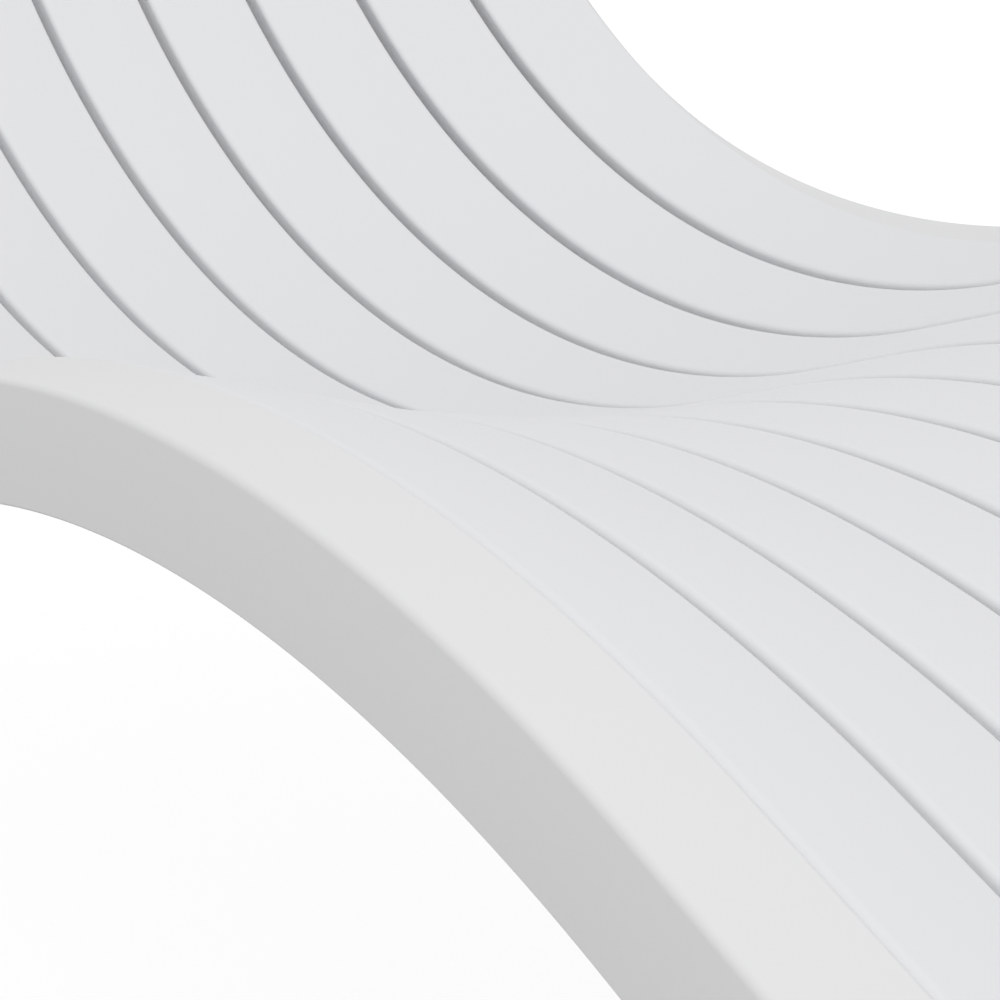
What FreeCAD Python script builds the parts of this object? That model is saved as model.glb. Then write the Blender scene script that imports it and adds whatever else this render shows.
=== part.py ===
"""Sun lounger: lengthwise moulded slats between two side rails, one wave from head to foot.

The deck is a surface with two curvatures.  Along the lounger it follows one wave path:
a straight back, a seat hollow, a knee crest and a foot run, all joined by tangent arcs.
Across the lounger it is dished, an arc about an axis above the path, so the outer slats
stand higher than the middle ones and lean inwards.  Every long piece is its own section
swept along the one path.  The cross bearers, end rails, legs and glides carry them.

Frame: +X towards the foot end, +Y towards the sitter's left, +Z up, millimetres and degrees.
The origin is on the floor under the middle of the lounger.
"""
import FreeCAD, Part
import math
import os
import Sketcher
from FreeCAD import Placement, Rotation, Vector

os.makedirs("parts", exist_ok=True)
doc = FreeCAD.newDocument("sun_lounger")

# The driving dimensions, each written once.
SIZES = [
    ("slat_pitch", 62.0, "slat middle to slat middle, along the dish"),
    ("slat_gap", 6.0, "open gap between two slats"),
    ("slat_height", 20.0, "slat depth"),
    ("slat_wall", 3.5, "slat wall"),
    ("slat_edge", 4.5, "round on the slat's top edges"),
    ("dish_radius", 822.0, "radius of the deck's hollow across the lounger"),
    ("back_length", 430.0, "straight part of the back"),
    ("back_angle", 47.0, "back above level"),
    ("seat_radius", 598.0, "seat hollow"),
    ("rise_angle", 16.7, "thigh slope"),
    ("rise_length", 55.0, "straight part of the thigh slope"),
    ("crest_radius", 730.0, "knee crest"),
    ("fall_angle", 20.5, "calf slope"),
    ("fall_length", 79.0, "straight part of the calf slope"),
    ("foot_radius", 561.0, "hollow before the foot run"),
    ("foot_angle", 3.0, "foot run below level"),
    ("foot_length", 130.0, "straight foot run"),
    ("seat_height", 270.0, "lowest point of the seat above the floor"),
    ("rail_gap", 3.0, "gap between the outer slat and the rail"),
    ("rail_width", 34.0, "top of the side rail"),
    ("rail_depth", 50.0, "side rail, top ridge to bottom edge"),
    ("rail_wall", 4.0, "side rail wall"),
    ("rail_slope", 11.5, "rail top falls outwards"),
    ("rail_edge", 8.0, "round on the rail's outer top edge"),
    ("rail_nose", 3.0, "round on the rail's inner top edge"),
    ("taper_turn", 26.0, "turn of the seat hollow at which the rail's taper ends, degrees"),
    ("crown_width", 7.0, "top of the side rail along the back"),
    ("crown_edge", 3.0, "round on the rail's outer top edge along the back"),
    ("crown_depth", 18.0, "solid ridge of the rail along the back"),
    ("slat_clearance", 1.0, "outer slat's foot to the rail's inner wall"),
    ("bearer_width", 40.0, "bearer, along the lounger"),
    ("bearer_depth", 25.0, "bearer, top to bottom"),
    ("bearer_wall", 4.0, "bearer wall"),
    ("seat_clearance", 0.05, "slat to bearer"),
    ("peg_radius", 5.0, "slat's peg through the bearer"),
    ("peg_clearance", 0.25, "peg or lug to its hole"),
    ("peg_stand", 2.0, "peg's end below the bearer's top wall"),
    ("lug_radius", 6.0, "bearer's lug through the rail's inner wall"),
    ("lug_stand", 2.0, "lug's end beyond the rail's inner wall"),
    ("head_bearer_in", 60.0, "head bearer from the head end"),
    ("back_bearer_in", 340.0, "back bearer from the head end"),
    ("foot_bearer_in", 60.0, "foot bearer from the foot end"),
    ("end_width", 28.0, "end rail, along the lounger"),
    ("end_wall", 5.0, "end rail wall"),
    ("end_edge", 6.0, "bevelled part of the end rail, along the lounger"),
    ("end_inset", 4.0, "bevel on the end rail, all round its outer end"),
    ("plug_length", 25.0, "end rail's plug inside the side rail"),
    ("plug_rise", 2.0, "plug above the side rail's lower edge"),
    ("rear_leg_x", 320.0, "rear leg's top behind the seat's lowest point"),
    ("front_leg_in", 60.0, "front leg's top behind the middle of the foot hollow"),
    ("leg_top", 110.0, "leg at the rail, along the lounger"),
    ("leg_foot", 58.0, "leg at the floor, along the lounger"),
    ("rear_rake", 46.0, "rear foot behind its top"),
    ("front_rake", 20.0, "front foot ahead of its top"),
    ("leg_wall", 5.0, "leg wall"),
    ("leg_rib", 3.5, "ribs across the leg's open side"),
    ("tenon_height", 20.0, "leg's tongue inside the rail"),
    ("tenon_width", 7.0, "tongue or plug, across the lounger"),
    ("tenon_clearance", 0.25, "tongue to the rail's inner wall"),
    ("tenon_shoulder", 9.0, "tongue set in from the leg's sides"),
    ("glide_height", 8.0, "glide under the leg"),
    ("glide_spigot", 6.0, "radius of the glide's spigot"),
    ("spigot_length", 14.0, "glide's spigot inside the leg"),
    ("spigot_clearance", 0.2, "spigot to its bore"),
]
SLATS = 10
LEG_RIBS = 2

sheet = doc.addObject("Spreadsheet::Sheet", "Sizes")
for row, (alias, value, note) in enumerate(SIZES, start=1):
    sheet.set("A%d" % row, note)
    sheet.set("B%d" % row, str(value))
    sheet.setAlias("B%d" % row, alias)
doc.recompute()


def size(alias):
    """The number in one cell of the sheet."""
    return float(sheet.get(alias))


def cell(text):
    """An expression: each sheet alias in the text gets the sheet's name before it."""
    words = sorted((alias for alias, _, _ in SIZES), key=len, reverse=True)
    out = text
    for number, alias in enumerate(words):
        out = out.replace(alias, "{%d}" % number)
    return out.format(*["Sizes." + alias for alias in words])


def sine(alias):
    """sin of an angle cell, as expression text."""
    return "sin(%s * 1deg)" % alias


def cosine(alias):
    """cos of an angle cell, as expression text."""
    return "cos(%s * 1deg)" % alias


# Points of the wave path, measured from the seat's lowest point, as text in the aliases.
BACK_X = "(-seat_radius * %s)" % sine("back_angle")
BACK_Z = "(seat_radius * (1 - %s))" % cosine("back_angle")
HEAD_X = "(%s - back_length * %s)" % (BACK_X, cosine("back_angle"))
HEAD_Z = "(%s + back_length * %s)" % (BACK_Z, sine("back_angle"))
TAPER_X = "(-seat_radius * %s)" % sine("taper_turn")
TAPER_Z = "(seat_radius * (1 - %s))" % cosine("taper_turn")
RISE_X = "(seat_radius * %s)" % sine("rise_angle")
RISE_Z = "(seat_radius * (1 - %s))" % cosine("rise_angle")
KNEE_X = "(%s + rise_length * %s)" % (RISE_X, cosine("rise_angle"))
KNEE_Z = "(%s + rise_length * %s)" % (RISE_Z, sine("rise_angle"))
CREST_X = "(%s + crest_radius * %s)" % (KNEE_X, sine("rise_angle"))
CREST_Z = "(%s - crest_radius * %s)" % (KNEE_Z, cosine("rise_angle"))
FALL_X = "(%s + crest_radius * %s)" % (CREST_X, sine("fall_angle"))
FALL_Z = "(%s + crest_radius * %s)" % (CREST_Z, cosine("fall_angle"))
CALF_X = "(%s + fall_length * %s)" % (FALL_X, cosine("fall_angle"))
CALF_Z = "(%s - fall_length * %s)" % (FALL_Z, sine("fall_angle"))
HOLLOW_X = "(%s + foot_radius * %s)" % (CALF_X, sine("fall_angle"))
HOLLOW_Z = "(%s + foot_radius * %s)" % (CALF_Z, cosine("fall_angle"))
TOE_X = "(%s - foot_radius * %s)" % (HOLLOW_X, sine("foot_angle"))
TOE_Z = "(%s - foot_radius * %s)" % (HOLLOW_Z, cosine("foot_angle"))
FOOT_X = "(%s + foot_length * %s)" % (TOE_X, cosine("foot_angle"))
FOOT_Z = "(%s - foot_length * %s)" % (TOE_Z, sine("foot_angle"))

# The section across the lounger: y outwards from the middle, q up along the path's normal.
EDGE_TURN = "(slat_pitch * %g / dish_radius * 1rad)" % (SLATS / 2.0)
OUTER_TURN = "(slat_pitch * %g / dish_radius * 1rad)" % (SLATS / 2.0 - 0.5)
RIDGE_Y = "(dish_radius * sin(%s) + rail_gap / 2)" % EDGE_TURN
RIDGE_Q = "(dish_radius * (1 - cos(%s)))" % EDGE_TURN
INNER_Y = ("(dish_radius * sin({0}) + (slat_pitch - slat_gap) / 2 * cos({0})"
           " + slat_height * sin({0}) + slat_clearance)").format(OUTER_TURN)
OUTER_Y = "(%s + rail_width)" % RIDGE_Y
OUTER_Q = "(%s - rail_width * tan(rail_slope * 1deg))" % RIDGE_Q
BOTTOM_Q = "(%s - rail_depth)" % RIDGE_Q
CROWN_Y = "(%s + crown_width)" % RIDGE_Y
CROWN_Q = "(%s - crown_width * tan(rail_slope * 1deg))" % RIDGE_Q
BEARER_TOP = ("(sqrt((dish_radius + slat_height)^2 + ((slat_pitch - slat_gap) / 2)^2)"
              " + seat_clearance)")
BEARER_LOW = "(%s + bearer_depth)" % BEARER_TOP
END_LOW = "(sqrt(%s^2 + (dish_radius - %s)^2))" % (OUTER_Y, BOTTOM_Q)


def reach(radius_text, y_text):
    """Height in the section of a circle about the dish axis, at a distance from the middle."""
    return "(dish_radius - sqrt(%s^2 - (%s)^2))" % (radius_text, y_text)


def along_back(text):
    """A place on the straight back, from the head end."""
    return ("(%s + %s * %s)" % (HEAD_X, text, cosine("back_angle")),
            "(%s - %s * %s)" % (HEAD_Z, text, sine("back_angle")), "back_angle * 1deg")


LUG_Q = "((%s + %s) / 2)" % (reach(BEARER_TOP, INNER_Y), reach(BEARER_LOW, INNER_Y))
# Where the bearers cross: a place on the path and the path's turn there.
STATIONS = {
    "bearer_head": along_back("head_bearer_in"),
    "bearer_back": along_back("back_bearer_in"),
    "bearer_seat": ("0", "0", "0deg"),
    "bearer_thigh": ("((%s + %s) / 2)" % (RISE_X, KNEE_X), "((%s + %s) / 2)" % (RISE_Z, KNEE_Z),
                     "-rise_angle * 1deg"),
    "bearer_calf": ("((%s + %s) / 2)" % (FALL_X, CALF_X), "((%s + %s) / 2)" % (FALL_Z, CALF_Z),
                    "fall_angle * 1deg"),
    "bearer_foot": ("(%s - foot_bearer_in * %s)" % (FOOT_X, cosine("foot_angle")),
                    "(%s + foot_bearer_in * %s)" % (FOOT_Z, sine("foot_angle")), "foot_angle * 1deg"),
}


def number(text):
    """The value of such a text, worked out from the sheet for first placing of geometry."""
    probe = sheet.evalExpression(cell(text))
    return float(probe.Value if hasattr(probe, "Value") else probe)


def frame(x_text, z_text, turn_text, shift=""):
    """Placement text for a section sketch: sketch x to +Y, sketch y along the path's normal."""
    text = ("placement(vector({x}; 0; {z}); rotation(vector(0; 1; 0); {turn}))"
            " * placement(vector(0; 0; 0); rotation(vector(1; 1; 1); 120deg))")
    return text.format(x=x_text, z=z_text, turn=turn_text) + shift


def place(item, text):
    """Bind an object's Placement to the sheet."""
    item.setExpression("Placement", cell(text))


def sketch(name):
    """A sketch of the document."""
    return doc.addObject("Sketcher::SketchObject", name)


def outline(sk, corners):
    """Closed outline of straight lines and arcs, every corner bound to the sheet.

    corners: (x text, y text, kind, extra): kind "line" joins to the next corner by a line,
    "arc" by an arc about the point (0, extra) of the sketch, "round" is a corner that
    two lines meet in with a tangent round of radius extra.
    """
    points = [(number(x), number(y)) for x, y, _, _ in corners]
    total = len(corners)
    trimmed = []
    for i, (x, y, kind, extra) in enumerate(corners):
        px, py = points[i]
        if kind != "round":
            trimmed.append(((px, py), (px, py), None))
            continue
        ax, ay = points[i - 1]
        bx, by = points[(i + 1) % total]
        la = math.hypot(ax - px, ay - py)
        lb = math.hypot(bx - px, by - py)
        ua = ((ax - px) / la, (ay - py) / la)
        ub = ((bx - px) / lb, (by - py) / lb)
        half = math.acos(max(-1.0, min(1.0, ua[0] * ub[0] + ua[1] * ub[1]))) / 2
        back = number(extra) / math.tan(half)
        reach = number(extra) / math.sin(half)
        mid = (ua[0] + ub[0], ua[1] + ub[1])
        norm = math.hypot(*mid)
        centre = (px + mid[0] / norm * reach, py + mid[1] / norm * reach)
        start = (px + ua[0] * back, py + ua[1] * back)
        end = (px + ub[0] * back, py + ub[1] * back)
        trimmed.append((start, end, centre))
    ends = []
    for i, (x, y, kind, extra) in enumerate(corners):
        start, end, centre = trimmed[i]
        if centre is not None:
            radius = number(extra)
            a0 = math.atan2(start[1] - centre[1], start[0] - centre[0])
            a1 = math.atan2(end[1] - centre[1], end[0] - centre[0])
            swing = (a1 - a0) % (2 * math.pi)
            circle = Part.Circle(Vector(centre[0], centre[1], 0), Vector(0, 0, 1), radius)
            forward = swing < math.pi
            low, high = (a0, a1) if forward else (a1, a0)
            geo = sk.addGeometry(Part.ArcOfCircle(circle, low, high), False)
            ends.append((geo, 1 if forward else 2, 2 if forward else 1, "round", i))
        nxt = trimmed[(i + 1) % total][0]
        if kind == "arc":
            cy = number(extra)
            radius = math.hypot(end[0], end[1] - cy)
            a0 = math.atan2(end[1] - cy, end[0])
            a1 = math.atan2(nxt[1] - cy, nxt[0])
            swing = (a1 - a0) % (2 * math.pi)
            circle = Part.Circle(Vector(0, cy, 0), Vector(0, 0, 1), radius)
            forward = swing < math.pi
            low, high = (a0, a1) if forward else (a1, a0)
            geo = sk.addGeometry(Part.ArcOfCircle(circle, low, high), False)
            ends.append((geo, 1 if forward else 2, 2 if forward else 1, "arc", i))
        else:
            geo = sk.addGeometry(Part.LineSegment(Vector(end[0], end[1], 0),
                                                  Vector(nxt[0], nxt[1], 0)), False)
            ends.append((geo, 1, 2, "line", i))
    count = len(ends)
    for j, (geo, first, last, kind, i) in enumerate(ends):
        after, after_first = ends[(j + 1) % count][0], ends[(j + 1) % count][1]
        smooth = kind == "round" or ends[(j + 1) % count][3] == "round"
        name = "Tangent" if smooth else "Coincident"
        sk.addConstraint(Sketcher.Constraint(name, geo, last, after, after_first))

    def bind(kind, args, value, text):
        index = sk.addConstraint(Sketcher.Constraint(kind, *args, value))
        sk.setExpression("Constraints[%d]" % index, cell(text))

    for j, (geo, first, last, kind, i) in enumerate(ends):
        x, y, corner_kind, extra = corners[i]
        if kind == "round":
            bind("Radius", (geo,), number(extra), extra)
            # The sharp corner is a construction point on both lines that meet in the round.
            spot = sk.addGeometry(Part.Point(Vector(points[i][0], points[i][1], 0)), True)
            before = ends[j - 1][0]
            after = ends[(j + 1) % count][0]
            sk.addConstraint(Sketcher.Constraint("PointOnObject", spot, 1, before))
            sk.addConstraint(Sketcher.Constraint("PointOnObject", spot, 1, after))
            bind("DistanceX", (-1, 1, spot, 1), points[i][0], x)
            bind("DistanceY", (-1, 1, spot, 1), points[i][1], y)
            continue
        if corner_kind != "round":
            bind("DistanceX", (-1, 1, geo, first), points[i][0], x)
            bind("DistanceY", (-1, 1, geo, first), points[i][1], y)
        if kind == "arc":
            bind("DistanceY", (-1, 1, geo, 3), number(extra), extra)


def wave_path():
    """The path in the XZ plane: four straight runs joined by tangent arcs, the seat's in two parts."""
    sk = sketch("wave_path")
    sk.Placement = Placement(Vector(0, 0, 0), Rotation(Vector(1, 0, 0), 90))

    def spot(x_text, z_text):
        return Vector(number(x_text), number(z_text), 0)

    def arc(centre, radius, low, high):
        circle = Part.Circle(centre, Vector(0, 0, 1), radius)
        return Part.ArcOfCircle(circle, math.radians(low), math.radians(high))

    back, rise = size("back_angle"), size("rise_angle")
    fall, foot = size("fall_angle"), size("foot_angle")
    sk.addGeometry(Part.LineSegment(spot(HEAD_X, HEAD_Z), spot(BACK_X, BACK_Z)), False)
    seat, taper = Vector(0, size("seat_radius"), 0), size("taper_turn")
    sk.addGeometry(arc(seat, size("seat_radius"), 270 - back, 270 - taper), False)
    sk.addGeometry(arc(seat, size("seat_radius"), 270 - taper, 270 + rise), False)
    sk.addGeometry(Part.LineSegment(spot(RISE_X, RISE_Z), spot(KNEE_X, KNEE_Z)), False)
    sk.addGeometry(arc(spot(CREST_X, CREST_Z), size("crest_radius"), 90 - fall, 90 + rise), False)
    sk.addGeometry(Part.LineSegment(spot(FALL_X, FALL_Z), spot(CALF_X, CALF_Z)), False)
    sk.addGeometry(arc(spot(HOLLOW_X, HOLLOW_Z), size("foot_radius"), 270 - fall, 270 - foot), False)
    sk.addGeometry(Part.LineSegment(spot(TOE_X, TOE_Z), spot(FOOT_X, FOOT_Z)), False)
    joins = [(0, 2, 1, 1), (2, 2, 3, 1), (3, 2, 4, 2), (4, 1, 5, 1), (5, 2, 6, 1), (6, 2, 7, 1)]
    for join in joins:
        sk.addConstraint(Sketcher.Constraint("Tangent", *join))
    sk.addConstraint(Sketcher.Constraint("Coincident", 1, 2, 2, 1))
    sk.addConstraint(Sketcher.Constraint("Coincident", 1, 3, 2, 3))

    def bind(kind, args, text):
        index = sk.addConstraint(Sketcher.Constraint(kind, *args, number(text)))
        sk.setExpression("Constraints[%d]" % index, cell(text))

    sk.addConstraint(Sketcher.Constraint("PointOnObject", 1, 3, -2))
    bind("DistanceY", (-1, 1, 1, 3), "seat_radius")
    bind("Radius", (1,), "seat_radius")
    bind("DistanceX", (1, 2, -1, 1), "seat_radius * " + sine("taper_turn"))
    bind("Radius", (4,), "crest_radius")
    bind("Radius", (6,), "foot_radius")
    bind("DistanceX", (0, 1, 0, 2), "back_length * " + cosine("back_angle"))
    bind("DistanceY", (0, 2, 0, 1), "back_length * " + sine("back_angle"))
    bind("DistanceX", (3, 1, 3, 2), "rise_length * " + cosine("rise_angle"))
    bind("DistanceY", (3, 1, 3, 2), "rise_length * " + sine("rise_angle"))
    bind("DistanceX", (5, 1, 5, 2), "fall_length * " + cosine("fall_angle"))
    bind("DistanceY", (5, 2, 5, 1), "fall_length * " + sine("fall_angle"))
    bind("DistanceX", (7, 1, 7, 2), "foot_length * " + cosine("foot_angle"))
    bind("DistanceY", (7, 2, 7, 1), "foot_length * " + sine("foot_angle"))
    return sk


path = wave_path()
pieces = []


def keep(item, label):
    """A finished piece: its label names its file."""
    item.Label = label
    pieces.append(item)
    return item


def sweep(sections, name, first=1, last=8):
    """One or more sections carried along runs of the wave path, one blending into the next."""
    item = doc.addObject("Part::Sweep", name)
    item.Sections = sections
    item.Spine = (path, ["Edge%d" % i for i in range(first, last + 1)])
    item.Solid = True
    item.Frenet = False
    item.Transition = "Transformed"
    return item


def extrude(section, name, text):
    """A section extended both ways by half of a length along its own normal."""
    item = doc.addObject("Part::Extrusion", name)
    item.Base = section
    item.DirMode = "Normal"
    item.Symmetric = True
    item.Solid = True
    item.setExpression("LengthFwd", cell(text))
    return item


def cut(base, tool, name):
    """One piece less another."""
    item = doc.addObject("Part::Cut", name)
    item.Base = base
    item.Tool = tool
    return item


def fuse(items, name):
    """Several solids of one moulding joined."""
    item = doc.addObject("Part::MultiFuse", name)
    item.Shapes = items
    item.Refine = True
    return item


def rod(name, radius_text, length_text, text):
    """A round rod from a place along that place's own axis."""
    item = doc.addObject("Part::Cylinder", name)
    item.setExpression("Radius", cell(radius_text))
    item.setExpression("Height", cell(length_text))
    place(item, text)
    return item


def lean(index):
    """Placement text from the section's middle to the middle of one slat's top."""
    turn = "((%g) * slat_pitch / dish_radius * 1rad)" % (index - (SLATS - 1) / 2.0)
    return (" * placement(vector(dish_radius * sin({0}); dish_radius * (1 - cos({0})); 0);"
            " rotation(vector(0; 0; 1); {0}))").format(turn)


def downwards(station, index, depth_text):
    """Placement text of an axis that runs down from a depth under one slat's top, at a bearer."""
    onward = " * placement(vector(0; -%s; 0); rotation(vector(1; 0; 0); 90deg))" % depth_text
    return frame(*STATIONS[station], lean(index) + onward)


def sideways(station, side, y_text):
    """Placement text of an axis that runs outwards through a bearer's end."""
    onward = (" * placement(vector(%d * %s; %s; 0); rotation(vector(0; 1; 0); %ddeg))"
              % (side, y_text, LUG_Q, 90 * side))
    return frame(*STATIONS[station], onward)


HALF = "((slat_pitch - slat_gap) / 2)"
INSIDE = "((slat_pitch - slat_gap) / 2 - slat_wall)"
PEG_LENGTH = "(%s - dish_radius + bearer_wall + peg_stand - slat_wall / 2)" % BEARER_TOP
HOLE_LENGTH = "(%s - dish_radius - slat_height + 3 * bearer_wall)" % BEARER_TOP


def slat(index):
    """One slat: an inverted channel with rounded top edges, leaning with the dish.

    A peg stands under its top at each bearer and passes through the bearer's top wall.
    """
    label = "slat_%02d" % (index + 1)
    sk = sketch("section_" + label)
    outline(sk, [
        ("-" + HALF, "0", "round", "slat_edge"),
        ("-" + HALF, "-slat_height", "line", ""),
        ("-" + INSIDE, "-slat_height", "line", ""),
        ("-" + INSIDE, "-slat_wall", "line", ""),
        (INSIDE, "-slat_wall", "line", ""),
        (INSIDE, "-slat_height", "line", ""),
        (HALF, "-slat_height", "line", ""),
        (HALF, "0", "round", "slat_edge"),
    ])
    place(sk, frame(HEAD_X, HEAD_Z, "back_angle * 1deg", lean(index)))
    pegs = [rod("peg_%s_%s" % (label, station), "peg_radius", PEG_LENGTH,
                downwards(station, index, "(slat_wall / 2)")) for station in STATIONS]
    return keep(fuse([sweep([sk], "channel_" + label)] + pegs, label), label)


def rail(side, label):
    """One side rail: an inverted channel whose top falls outwards, with a nose over the slat.

    From foot to knee the top is broad and the outer side upright.  Along the seat hollow the
    top narrows to a crown, and along the back the outer side leans from the crown to the
    lower edge.
    """
    flip = "" if side > 0 else "-"
    left = "(%s + rail_wall)" % INNER_Y
    right = "(%s - rail_wall)" % OUTER_Y
    run, drop = "(%s - %s)" % (OUTER_Y, CROWN_Y), "(%s - %s)" % (CROWN_Q, BOTTOM_Q)
    lean_right = "(%s - rail_wall * sqrt(%s^2 + %s^2) / %s)" % (OUTER_Y, run, drop, drop)
    roof = "(%s - crown_depth)" % RIDGE_Q
    lean_top = "(%s - (%s - %s) * %s / %s)" % (lean_right, roof, BOTTOM_Q, run, drop)

    def top(y_text):
        return "(%s - (%s - %s) * tan(rail_slope * 1deg))" % (RIDGE_Q, y_text, RIDGE_Y)

    def section(name, spot, outer, room):
        sk = sketch(name)
        outline(sk, [
            (flip + RIDGE_Y, RIDGE_Q, "round", "rail_nose"),
            (flip + outer[0], outer[1], "round", outer[2]),
            (flip + OUTER_Y, BOTTOM_Q, "line", ""),
            (flip + room[0], BOTTOM_Q, "line", ""),
            (flip + room[1], room[2], "line", ""),
            (flip + left, room[3], "line", ""),
            (flip + left, BOTTOM_Q, "line", ""),
            (flip + INNER_Y, BOTTOM_Q, "line", ""),
            (flip + INNER_Y, "(%s - rail_wall)" % top(INNER_Y), "line", ""),
            (flip + RIDGE_Y, "(%s - rail_wall)" % top(RIDGE_Y), "line", ""),
        ])
        place(sk, frame(*spot))
        return sk

    broad = ((OUTER_Y, OUTER_Q, "rail_edge"),
             (right, right, "(%s - rail_wall)" % top(right), "(%s - rail_wall)" % top(left)))
    narrow = ((CROWN_Y, CROWN_Q, "crown_edge"), (lean_right, lean_top, roof, roof))
    at_head = (HEAD_X, HEAD_Z, "back_angle * 1deg")
    at_taper = (TAPER_X, TAPER_Z, "taper_turn * 1deg")
    at_rise = (RISE_X, RISE_Z, "-rise_angle * 1deg")
    runs = [
        sweep([section("back_section_" + label, at_head, *narrow)], "back_" + label, 1, 2),
        sweep([section("taper_start_" + label, at_taper, *narrow),
               section("taper_end_" + label, at_rise, *broad)], "taper_" + label, 3, 3),
        sweep([section("knee_section_" + label, at_rise, *broad)], "knee_" + label, 4, 8),
    ]
    holes = [rod("hole_%s_%s" % (label, station), "(lug_radius + peg_clearance)", "(3 * rail_wall)",
                 sideways(station, side, "(%s - rail_wall)" % INNER_Y)) for station in STATIONS]
    return keep(cut(fuse(runs, "channel_" + label), fuse(holes, "holes_" + label), label), label)


def band(name, top_text, low_text, y_text):
    """A dished band of the section between two circles about the dish axis."""
    sk = sketch(name)
    outline(sk, [
        ("-" + y_text, reach(top_text, y_text), "line", ""),
        ("-" + y_text, reach(low_text, y_text), "arc", "dish_radius"),
        (y_text, reach(low_text, y_text), "line", ""),
        (y_text, reach(top_text, y_text), "arc", "dish_radius"),
    ])
    return sk


def bearer(label, curved=False):
    """One cross bearer: a dished inverted channel with closed ends between the rails.

    Its top has a hole for each slat's peg, and each end a lug through the rail's inner wall.
    """
    hollow_top = "(%s + bearer_wall)" % BEARER_TOP
    hollow_low = "(%s + bearer_wall)" % BEARER_LOW
    hollow_y = "(%s - bearer_wall)" % INNER_Y
    outer = band("section_" + label, BEARER_TOP, BEARER_LOW, INNER_Y)
    inner = band("hollow_" + label, hollow_top, hollow_low, hollow_y)
    for item in (outer, inner):
        place(item, frame(*STATIONS[label]))
    if not curved:
        body = extrude(outer, "body_" + label, "bearer_width")
        room = extrude(inner, "room_" + label, "bearer_width - 2 * bearer_wall")
    else:
        body, room = (doc.addObject("Part::Revolution", kind + label) for kind in ("body_", "room_"))
        for item, section, text in ((body, outer, "bearer_width"),
                                    (room, inner, "(bearer_width - 2 * bearer_wall)")):
            item.Source = section
            item.Axis = Vector(0, 1, 0)
            item.Symmetric = True
            item.Solid = True
            item.setExpression("Base.z", cell("seat_radius"))
            item.setExpression("Angle", cell("%s / seat_radius * 1rad" % text))
    lugs = [rod("lug_%s_%d" % (label, side), "lug_radius", "(bearer_wall / 2 + rail_wall + lug_stand)",
                sideways(label, side, "(%s - bearer_wall / 2)" % INNER_Y)) for side in (-1, 1)]
    holes = [rod("hole_%s_%02d" % (label, index + 1), "(peg_radius + peg_clearance)", HOLE_LENGTH,
                 downwards(label, index, "(slat_height - bearer_wall)")) for index in range(SLATS)]
    solid = fuse([cut(body, room, "shell_" + label)] + lugs, "moulding_" + label)
    return keep(cut(solid, fuse(holes, "holes_" + label), label), label)


def end_rail(label, x_text, z_text, turn_text, way, edge_y, edge_q):
    """One end rail: it closes the ends of the slats and side rails, hollow towards them.

    Its outer end narrows by a bevel all round the outline.
    """
    sign = "" if way > 0 else "-"
    level = frame(x_text, z_text, turn_text)
    onward = " * placement(vector(0; 0; %s(%s)); rotation(vector(0; 0; 1); 0deg))"

    def ring(name, inset, distance):
        top, low = "(dish_radius + %s)" % inset, "(%s - %s)" % (END_LOW, inset)
        wide = "(%s - %s)" % (OUTER_Y, inset)
        shoulder_y, shoulder_q = "(%s - %s)" % (edge_y, inset), "(%s - %s)" % (edge_q, inset)
        sk = sketch(name)
        outline(sk, [
            ("-" + RIDGE_Y, reach(top, RIDGE_Y), "line", ""),
            ("-" + shoulder_y, shoulder_q, "line", ""),
            ("-" + wide, reach(low, wide), "arc", "dish_radius"),
            (wide, reach(low, wide), "line", ""),
            (shoulder_y, shoulder_q, "line", ""),
            (RIDGE_Y, reach(top, RIDGE_Y), "arc", "dish_radius"),
        ])
        place(sk, level + onward % (sign, distance))
        return sk

    def slide(sk, name, text):
        item = doc.addObject("Part::Extrusion", name)
        item.Base = sk
        item.DirMode = "Normal"
        item.Solid = True
        item.Reversed = way < 0
        item.setExpression("LengthFwd", cell(text))
        return item

    straight = slide(ring("section_" + label, "0", "0"), "straight_" + label, "end_width - end_edge")
    bevel = doc.addObject("Part::Loft", "bevel_" + label)
    bevel.Sections = [ring("start_" + label, "0", "end_width - end_edge"),
                      ring("tip_" + label, "end_inset", "end_width")]
    bevel.Solid = True
    bevel.Ruled = True
    hollow = band("hollow_" + label, "(dish_radius + end_wall)", "(%s - end_wall)" % END_LOW,
                  "(%s - end_wall)" % RIDGE_Y)
    place(hollow, level)
    room = slide(hollow, "room_" + label, "end_width - end_wall - end_edge")
    shell = cut(fuse([straight, bevel], "block_" + label), room, "shell_" + label)
    plug_low = "(%s + plug_rise)" % BOTTOM_Q
    plug_top = "(%s + tenon_height)" % plug_low
    plug_in = "(%s + rail_wall + tenon_clearance)" % INNER_Y
    plug_out = "(%s + tenon_width)" % plug_in
    plugs = []
    for flip, side in (("-", "right"), ("", "left")):
        sk = sketch("plug_section_%s_%s" % (label, side))
        outline(sk, [
            (flip + plug_in, plug_low, "line", ""),
            (flip + plug_out, plug_low, "line", ""),
            (flip + plug_out, plug_top, "line", ""),
            (flip + plug_in, plug_top, "line", ""),
        ])
        place(sk, level)
        plug = slide(sk, "plug_%s_%s" % (label, side), "plug_length")
        plug.Reversed = way > 0
        plugs.append(plug)
    return keep(fuse([shell] + plugs, label), label)


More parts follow.
